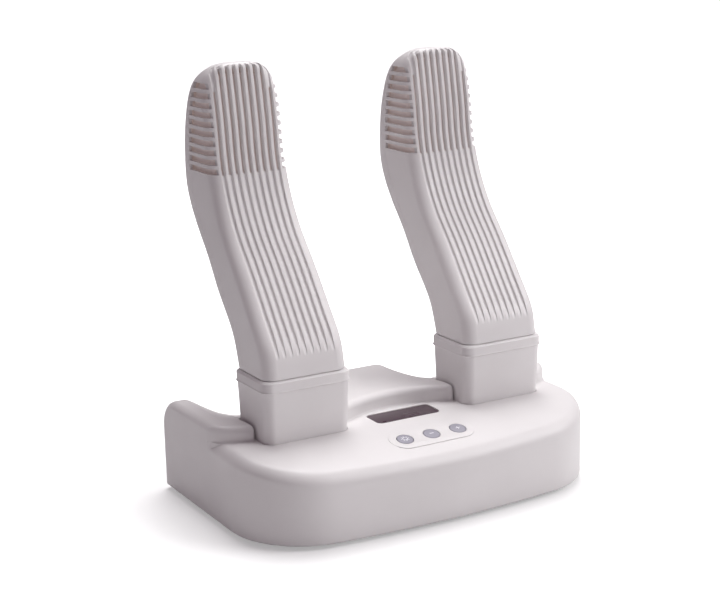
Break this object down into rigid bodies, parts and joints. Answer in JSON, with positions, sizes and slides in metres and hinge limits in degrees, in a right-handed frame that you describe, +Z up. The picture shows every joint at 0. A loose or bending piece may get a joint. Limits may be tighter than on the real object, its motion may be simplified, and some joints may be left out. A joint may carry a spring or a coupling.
{
  "type": "electric boot and shoe dryer",
  "caption": "Tabletop boot dryer: a fan-heater housing with display and buttons, and two curved lift-off warm-air pipes with slotted heads.",
  "frame": {"origin": "on the floor under the middle of the whole dryer, pipes included", "axes": "+X to the right as seen from the display side, +Y to the back, +Z up along the collars"},
  "size_m": [0.261, 0.1712, 0.2883],
  "materials": {
    "white_plastic": "satin",
    "button_plastic": "satin",
    "smoked_window": "gloss",
    "black_plastic": "satin",
    "heat_plastic": "matte",
    "grey_rubber": "matte",
    "plated_steel": "satin",
    "aluminium": "satin",
    "circuit_board": "satin",
    "component_mix": "satin"
  },
  "bodies": {
    "base": {"upper_housing": "white_plastic", "base_plate": "white_plastic", "rubber_feet": "grey_rubber", "case_screws": "plated_steel", "left_collar": "white_plastic", "right_collar": "white_plastic", "collar_screws": "plated_steel", "display_window": "smoked_window", "display_module": "black_plastic", "button_panel": "white_plastic", "control_board": "circuit_board", "tact_switches": "black_plastic", "board_screws": "plated_steel", "fan_frame": "black_plastic", "fan_motor": "plated_steel", "fan_screws": "plated_steel", "heater_frame": "heat_plastic", "heater_bars": "aluminium", "heater_fins": "aluminium", "air_manifold": "heat_plastic", "thermal_cutout": "aluminium", "power_board": "circuit_board", "power_components": "component_mix", "power_inlet": "black_plastic", "inlet_pins": "plated_steel"},
    "left_pipe": {"left_pipe_front": "white_plastic", "left_pipe_rear": "white_plastic"},
    "right_pipe": {"right_pipe_front": "white_plastic", "right_pipe_rear": "white_plastic"},
    "power_key": {"button_power": "button_plastic"},
    "minus_key": {"button_minus": "button_plastic"},
    "plus_key": {"button_plus": "button_plastic"},
    "impeller": {"impeller": "black_plastic"}
  },
  "joints": [
    {"name": "left_pipe_lift", "type": "slide", "parent": "base", "child": "left_pipe", "axis": [0, 0, 1], "range_m": [0, 0.06]},
    {"name": "right_pipe_lift", "type": "slide", "parent": "base", "child": "right_pipe", "axis": [0, 0, 1], "range_m": [0, 0.06]},
    {"name": "power_press", "type": "slide", "parent": "base", "child": "power_key", "axis": [0, 0.2201, -0.9755], "range_m": [0, 0.0007], "stiffness_N_per_m": 400},
    {"name": "minus_press", "type": "slide", "parent": "base", "child": "minus_key", "axis": [0, 0.2201, -0.9755], "range_m": [0, 0.0007], "stiffness_N_per_m": 400},
    {"name": "plus_press", "type": "slide", "parent": "base", "child": "plus_key", "axis": [0, 0.2201, -0.9755], "range_m": [0, 0.0007], "stiffness_N_per_m": 400},
    {"name": "impeller_spin", "type": "hinge", "parent": "base", "child": "impeller", "pos_m": [0, 0.03186, 0.019], "axis": [0, 0, 1], "continuous": true}
  ]
}
